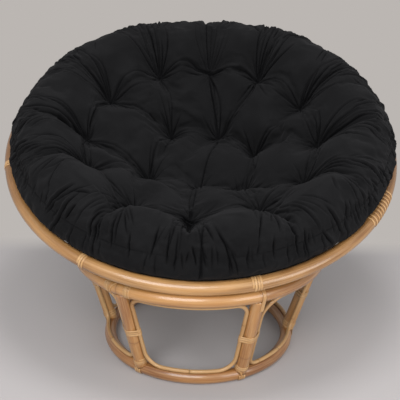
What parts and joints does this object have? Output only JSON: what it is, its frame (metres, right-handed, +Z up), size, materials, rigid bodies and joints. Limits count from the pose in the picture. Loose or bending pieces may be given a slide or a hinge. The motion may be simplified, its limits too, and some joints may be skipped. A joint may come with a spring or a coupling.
{
  "type": "papasan chair",
  "caption": "Round rattan lounge chair: a deep bowl with a tufted black cushion leans on an open ring stand. The bowl tilts and the cushion lifts out.",
  "frame": {"origin": "on the floor, at the middle of the chair's outline seen from above", "axes": "+Z up, the chair faces -Y, +X to the right hand of someone who looks at the front of the chair"},
  "size_m": [1.0996, 0.9952, 0.8474],
  "materials": {
    "rattan_pole": "gloss",
    "rattan_rib": "satin",
    "rattan_cane": "satin",
    "rattan_peel": "satin",
    "cushion_cloth": "matte"
  },
  "bodies": {
    "stand": {"top_ring": "rattan_pole", "base_ring": "rattan_pole", "leg_1": "rattan_pole", "leg_2": "rattan_pole", "leg_3": "rattan_pole", "leg_4": "rattan_pole", "leg_5": "rattan_pole", "leg_6": "rattan_pole", "window_cane_1": "rattan_cane", "window_cane_2": "rattan_cane", "window_cane_3": "rattan_cane", "window_cane_4": "rattan_cane", "window_cane_5": "rattan_cane", "window_cane_6": "rattan_cane", "leg_top_binding_1": "rattan_peel", "leg_middle_binding_1": "rattan_peel", "leg_foot_binding_1": "rattan_peel", "leg_top_binding_2": "rattan_peel", "leg_middle_binding_2": "rattan_peel", "leg_foot_binding_2": "rattan_peel", "leg_top_binding_3": "rattan_peel", "leg_middle_binding_3": "rattan_peel", "leg_foot_binding_3": "rattan_peel", "leg_top_binding_4": "rattan_peel", "leg_middle_binding_4": "rattan_peel", "leg_foot_binding_4": "rattan_peel", "leg_top_binding_5": "rattan_peel", "leg_middle_binding_5": "rattan_peel", "leg_foot_binding_5": "rattan_peel", "leg_top_binding_6": "rattan_peel", "leg_middle_binding_6": "rattan_peel", "leg_foot_binding_6": "rattan_peel"},
    "bowl": {"rim": "rattan_pole", "rim_splice_binding": "rattan_peel", "rim_binding_1": "rattan_peel", "rim_binding_3": "rattan_peel", "rim_binding_4": "rattan_peel", "rim_binding_5": "rattan_peel", "rim_binding_6": "rattan_peel", "rim_binding_7": "rattan_peel", "rim_binding_8": "rattan_peel", "mid_ring": "rattan_rib", "bottom_ring": "rattan_rib", "rib_pair_1": "rattan_rib", "rib_pair_2": "rattan_rib", "rib_pair_3": "rattan_rib", "rib_pair_4": "rattan_rib", "rib_pair_5": "rattan_rib", "rib_pair_6": "rattan_rib", "rib_pair_7": "rattan_rib", "rib_pair_8": "rattan_rib"},
    "cushion": {"cushion": "cushion_cloth"}
  },
  "joints": [
    {"name": "bowl_tilt", "type": "hinge", "parent": "stand", "child": "bowl", "pos_m": [0, -0.14855, 0.85082], "axis": [-1, 0, 0], "range_deg": [0, 50.98]},
    {"name": "cushion_lift", "type": "slide", "parent": "bowl", "child": "cushion", "axis": [0, -0.4304, 0.9027], "range_m": [0, 0.4]}
  ]
}
